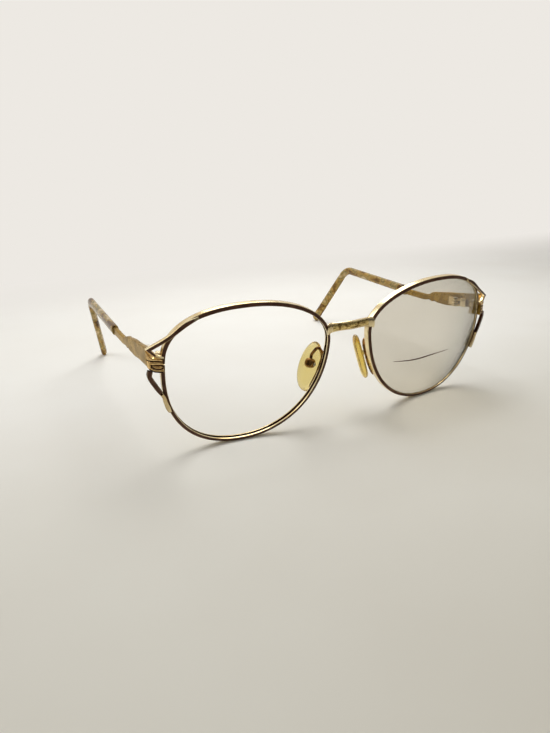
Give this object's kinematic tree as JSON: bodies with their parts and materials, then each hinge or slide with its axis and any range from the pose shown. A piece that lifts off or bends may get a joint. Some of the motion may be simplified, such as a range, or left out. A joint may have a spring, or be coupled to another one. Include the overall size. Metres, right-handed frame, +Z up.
{
  "type": "oval sunglasses",
  "caption": "Oval gilt wire eyeglasses with a swept double-strut endpiece, hinged temples with curved tortoise tips, rocking nose pads and a lens in the left rim only.",
  "frame": {"origin": "centre of the bounding box in plan, on the table that the rims and the temple tips stand on", "axes": "+X to the wearer's left, along the front; +Y from the front towards the ears; +Z up"},
  "size_m": [0.144, 0.1366, 0.049],
  "materials": {
    "polished_gilt": "polished gilt metal, with dark brown enamel on the front of the rims and struts",
    "nickel_steel": "satin",
    "amber_pad": "glossy amber",
    "marbled_acetate": "glossy marbled honey brown",
    "tinted_lens": "polished, light grey-brown tint"
  },
  "bodies": {
    "front": {"bridge": "polished_gilt", "left_lens": "tinted_lens", "left_eyewire": "polished_gilt", "left_endpiece": "polished_gilt", "left_upper_strut": "polished_gilt", "left_lower_strut": "polished_gilt", "left_upper_lock_barrel": "polished_gilt", "left_lower_lock_barrel": "polished_gilt", "left_lock_screw": "nickel_steel", "left_hinge_front_leaf": "polished_gilt", "left_hinge_screw": "nickel_steel", "left_pad_arm": "polished_gilt", "left_pad_box": "polished_gilt", "left_pad_screw": "nickel_steel", "right_eyewire": "polished_gilt", "right_endpiece": "polished_gilt", "right_upper_strut": "polished_gilt", "right_lower_strut": "polished_gilt", "right_upper_lock_barrel": "polished_gilt", "right_lower_lock_barrel": "polished_gilt", "right_lock_screw": "nickel_steel", "right_hinge_front_leaf": "polished_gilt", "right_hinge_screw": "nickel_steel", "right_pad_arm": "polished_gilt", "right_pad_box": "polished_gilt", "right_pad_screw": "nickel_steel"},
    "left_temple_unit": {"left_temple": "polished_gilt", "left_temple_sleeve": "marbled_acetate", "left_hinge_temple_leaf": "polished_gilt"},
    "right_temple_unit": {"right_temple": "polished_gilt", "right_temple_sleeve": "marbled_acetate", "right_hinge_temple_leaf": "polished_gilt"},
    "left_pad_unit": {"left_nose_pad": "amber_pad"},
    "right_pad_unit": {"right_nose_pad": "amber_pad"}
  },
  "joints": [
    {"name": "left_temple_hinge", "type": "hinge", "parent": "front", "child": "left_temple_unit", "pos_m": [0.06594, -0.0481, 0.03285], "axis": [0, 0, 1], "range_deg": [0, 90]},
    {"name": "right_temple_hinge", "type": "hinge", "parent": "front", "child": "right_temple_unit", "pos_m": [-0.06594, -0.0481, 0.03285], "axis": [0, 0, -1], "range_deg": [0, 84]},
    {"name": "left_pad_rock", "type": "hinge", "parent": "front", "child": "left_pad_unit", "pos_m": [0.01209, -0.05917, 0.02238], "axis": [0.4609, 0.8758, 0.1436], "range_deg": [-8, 8]},
    {"name": "right_pad_rock", "type": "hinge", "parent": "front", "child": "right_pad_unit", "pos_m": [-0.01209, -0.05917, 0.02238], "axis": [-0.4609, 0.8758, 0.1436], "range_deg": [-8, 8]}
  ]
}
